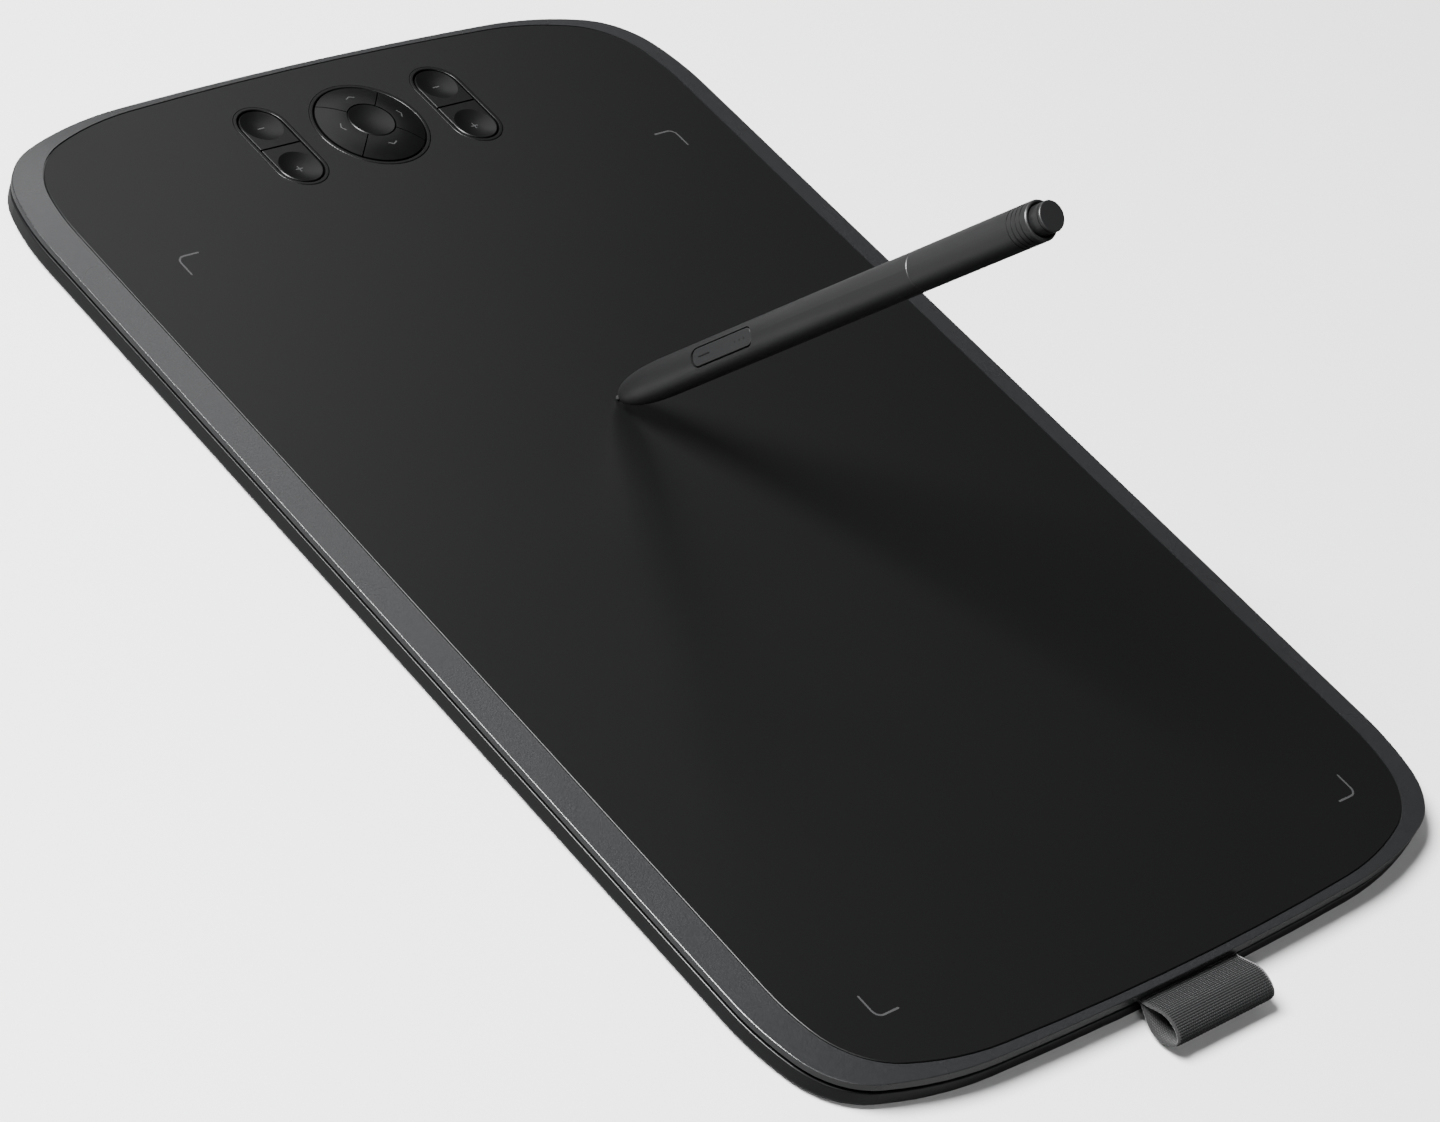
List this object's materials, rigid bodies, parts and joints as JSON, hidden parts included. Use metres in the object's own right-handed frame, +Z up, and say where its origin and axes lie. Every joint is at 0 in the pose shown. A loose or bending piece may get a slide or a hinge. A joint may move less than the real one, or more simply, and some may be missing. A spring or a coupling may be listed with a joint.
{
  "type": "pen drawing tablet",
  "caption": "Flat black screenless drawing tablet with rounded corners, key cluster at one end, fabric pen loop at the other, and a slim cordless pen leaning with its tip on the surface.",
  "frame": {"origin": "on the desk under the middle of the footprint, loop included", "axes": "+X from the key end to the pen loop end, +Y to the far long side, +Z up from the desk"},
  "size_m": [0.342, 0.2088, 0.1388],
  "materials": {
    "case_grey": "satin, fine pebble grain",
    "case_dark": "satin, smooth",
    "film_black": "matt, fine tooth",
    "key_black": "satin",
    "board_green": "solder mask",
    "steel": "plain",
    "foam": "closed-cell foam",
    "dark_plastic": "moulded",
    "ribbon": "flexible film",
    "rubber_black": "matt",
    "loop_fabric": "ribbed weave",
    "pen_plastic": "satin",
    "nib_plastic": "smooth",
    "copper": "enamelled wire"
  },
  "bodies": {
    "tablet": {"top_case": "case_grey", "bottom_case": "case_dark", "drawing_film": "film_black", "pill_ring_upper": "key_black", "pill_ring_lower": "key_black", "dpad_ring": "key_black", "dpad_hub": "key_black", "sensor_board": "board_green", "shield_plate": "steel", "foam_sheet": "foam", "main_board": "board_green", "key_switches": "dark_plastic", "board_chips": "dark_plastic", "usb_c_shell": "steel", "usb_c_tongue": "dark_plastic", "ribbon_cable": "ribbon", "case_screws": "steel", "board_screws": "steel", "rubber_feet": "rubber_black", "pen_loop": "loop_fabric", "loop_clamp": "dark_plastic"},
    "pill_key_upper_left": {"pill_key_upper_left": "key_black"},
    "pill_key_upper_right": {"pill_key_upper_right": "key_black"},
    "pill_key_lower_left": {"pill_key_lower_left": "key_black"},
    "pill_key_lower_right": {"pill_key_lower_right": "key_black"},
    "dpad_key_up": {"dpad_key_up": "key_black"},
    "dpad_key_down": {"dpad_key_down": "key_black"},
    "dpad_key_left": {"dpad_key_left": "key_black"},
    "dpad_key_right": {"dpad_key_right": "key_black"},
    "pen": {"pen_front_barrel": "pen_plastic", "pen_rear_barrel": "pen_plastic", "barrel_coupler": "dark_plastic", "ferrite_core": "dark_plastic", "antenna_coil": "copper", "pressure_sensor": "dark_plastic", "pen_chassis": "dark_plastic", "pen_board": "board_green", "side_switches": "dark_plastic", "rocker_pin": "steel", "tail_switch_holder": "dark_plastic"},
    "nib": {"pen_nib": "nib_plastic", "nib_holder": "dark_plastic"},
    "rocker": {"side_rocker": "pen_plastic"},
    "tail": {"tail_button": "pen_plastic"}
  },
  "joints": [
    {"name": "pill_key_upper_left_press", "type": "slide", "parent": "tablet", "child": "pill_key_upper_left", "axis": [0, 0, -1], "range_m": [0, 0.0005], "stiffness_N_per_m": 400, "springref_m": -0.0002},
    {"name": "pill_key_upper_right_press", "type": "slide", "parent": "tablet", "child": "pill_key_upper_right", "axis": [0, 0, -1], "range_m": [0, 0.0005], "stiffness_N_per_m": 400, "springref_m": -0.0002},
    {"name": "pill_key_lower_left_press", "type": "slide", "parent": "tablet", "child": "pill_key_lower_left", "axis": [0, 0, -1], "range_m": [0, 0.0005], "stiffness_N_per_m": 400, "springref_m": -0.0002},
    {"name": "pill_key_lower_right_press", "type": "slide", "parent": "tablet", "child": "pill_key_lower_right", "axis": [0, 0, -1], "range_m": [0, 0.0005], "stiffness_N_per_m": 400, "springref_m": -0.0002},
    {"name": "dpad_key_up_press", "type": "slide", "parent": "tablet", "child": "dpad_key_up", "axis": [0, 0, -1], "range_m": [0, 0.0005], "stiffness_N_per_m": 400, "springref_m": -0.0002},
    {"name": "dpad_key_down_press", "type": "slide", "parent": "tablet", "child": "dpad_key_down", "axis": [0, 0, -1], "range_m": [0, 0.0005], "stiffness_N_per_m": 400, "springref_m": -0.0002},
    {"name": "dpad_key_left_press", "type": "slide", "parent": "tablet", "child": "dpad_key_left", "axis": [0, 0, -1], "range_m": [0, 0.0005], "stiffness_N_per_m": 400, "springref_m": -0.0002},
    {"name": "dpad_key_right_press", "type": "slide", "parent": "tablet", "child": "dpad_key_right", "axis": [0, 0, -1], "range_m": [0, 0.0005], "stiffness_N_per_m": 400, "springref_m": -0.0002},
    {"name": "pen_lift", "type": "slide", "parent": "tablet", "child": "pen", "axis": [0.5752, -0.0208, 0.8177], "range_m": [0, 0.04]},
    {"name": "nib_press", "type": "slide", "parent": "pen", "child": "nib", "axis": [0.5752, -0.0208, 0.8177], "range_m": [0, 0.0004], "stiffness_N_per_m": 1500, "springref_m": -0.0001},
    {"name": "rocker_tilt", "type": "hinge", "parent": "pen", "child": "rocker", "pos_m": [-0.01184, -0.00849, 0.04816], "axis": [-0.7809, 0.2838, 0.5565], "range_deg": [-1.8, 1.8], "stiffness_Nm_per_rad": 0.02},
    {"name": "tail_press", "type": "slide", "parent": "pen", "child": "tail", "axis": [-0.5752, 0.0208, -0.8177], "range_m": [0, 0.001], "stiffness_N_per_m": 500, "springref_m": -0.0002}
  ]
}
